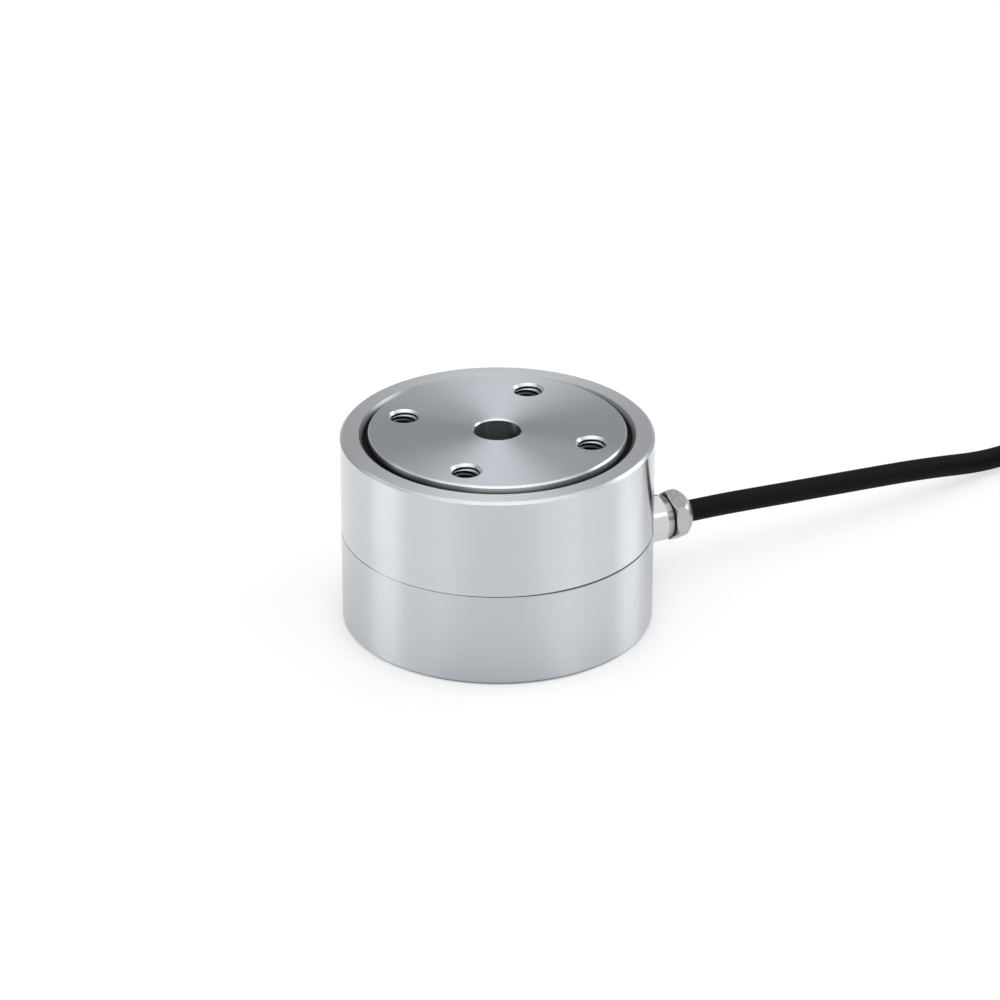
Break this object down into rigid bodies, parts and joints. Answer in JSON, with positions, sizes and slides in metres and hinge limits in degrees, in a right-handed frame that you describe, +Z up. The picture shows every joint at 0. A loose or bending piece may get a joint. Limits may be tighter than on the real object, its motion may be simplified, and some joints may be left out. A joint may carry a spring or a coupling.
{
  "type": "column load cell",
  "caption": "Round steel column load cell: turned rings stacked round a load flange with tapped holes and a plain centre bore, and a black cable leaving through a hexagon side gland.",
  "frame": {"origin": "centre of the flat underside that the load cell stands on", "axes": "+Z up along the load axis, +X out along the cable gland"},
  "size_m": [0.2998, 0.1073, 0.0519],
  "materials": {
    "turned_steel": "fine face-turned lines, bright",
    "ground_steel": "ground, satin",
    "polished_steel": "polished",
    "seal_rubber": "matt black",
    "gauge_film": "clear amber film",
    "copper": "bare",
    "board_laminate": "green lacquer",
    "spacer_nylon": "natural",
    "screw_steel": "zinc plated",
    "resistor_body": "glazed",
    "nickel_plate": "nickel plated brass",
    "insulation_red": "extruded",
    "insulation_black": "extruded",
    "insulation_green": "extruded",
    "insulation_white": "extruded",
    "insulation_grey": "extruded",
    "cable_jacket": "matt black",
    "tie_nylon": "black nylon",
    "shrink_sleeve": "black",
    "tinned_copper": "tinned"
  },
  "bodies": {
    "root": {"sensing_column": "turned_steel", "base_housing": "ground_steel", "upper_sleeve": "polished_steel", "sleeve_o_ring": "seal_rubber", "flange_seal": "seal_rubber", "strain_gauges": "gauge_film", "solder_terminals": "copper", "bridge_wires": "copper", "bridge_board": "board_laminate", "board_spacers": "spacer_nylon", "board_screws": "screw_steel", "trim_resistors": "resistor_body", "gland_body": "nickel_plate", "gland_nut": "nickel_plate", "gland_washer": "nickel_plate", "gland_gasket": "seal_rubber", "gland_grommet": "seal_rubber", "core_red": "insulation_red", "core_black": "insulation_black", "core_green": "insulation_green", "core_white": "insulation_white", "cable_run": "cable_jacket", "cable_coil": "cable_jacket", "cable_tie": "tie_nylon", "cable_end_sleeve": "shrink_sleeve", "lead_red": "insulation_red", "lead_black": "insulation_black", "lead_green": "insulation_green", "lead_white": "insulation_white", "lead_shield": "insulation_grey", "lead_tips": "tinned_copper"}
  },
  "joints": []
}
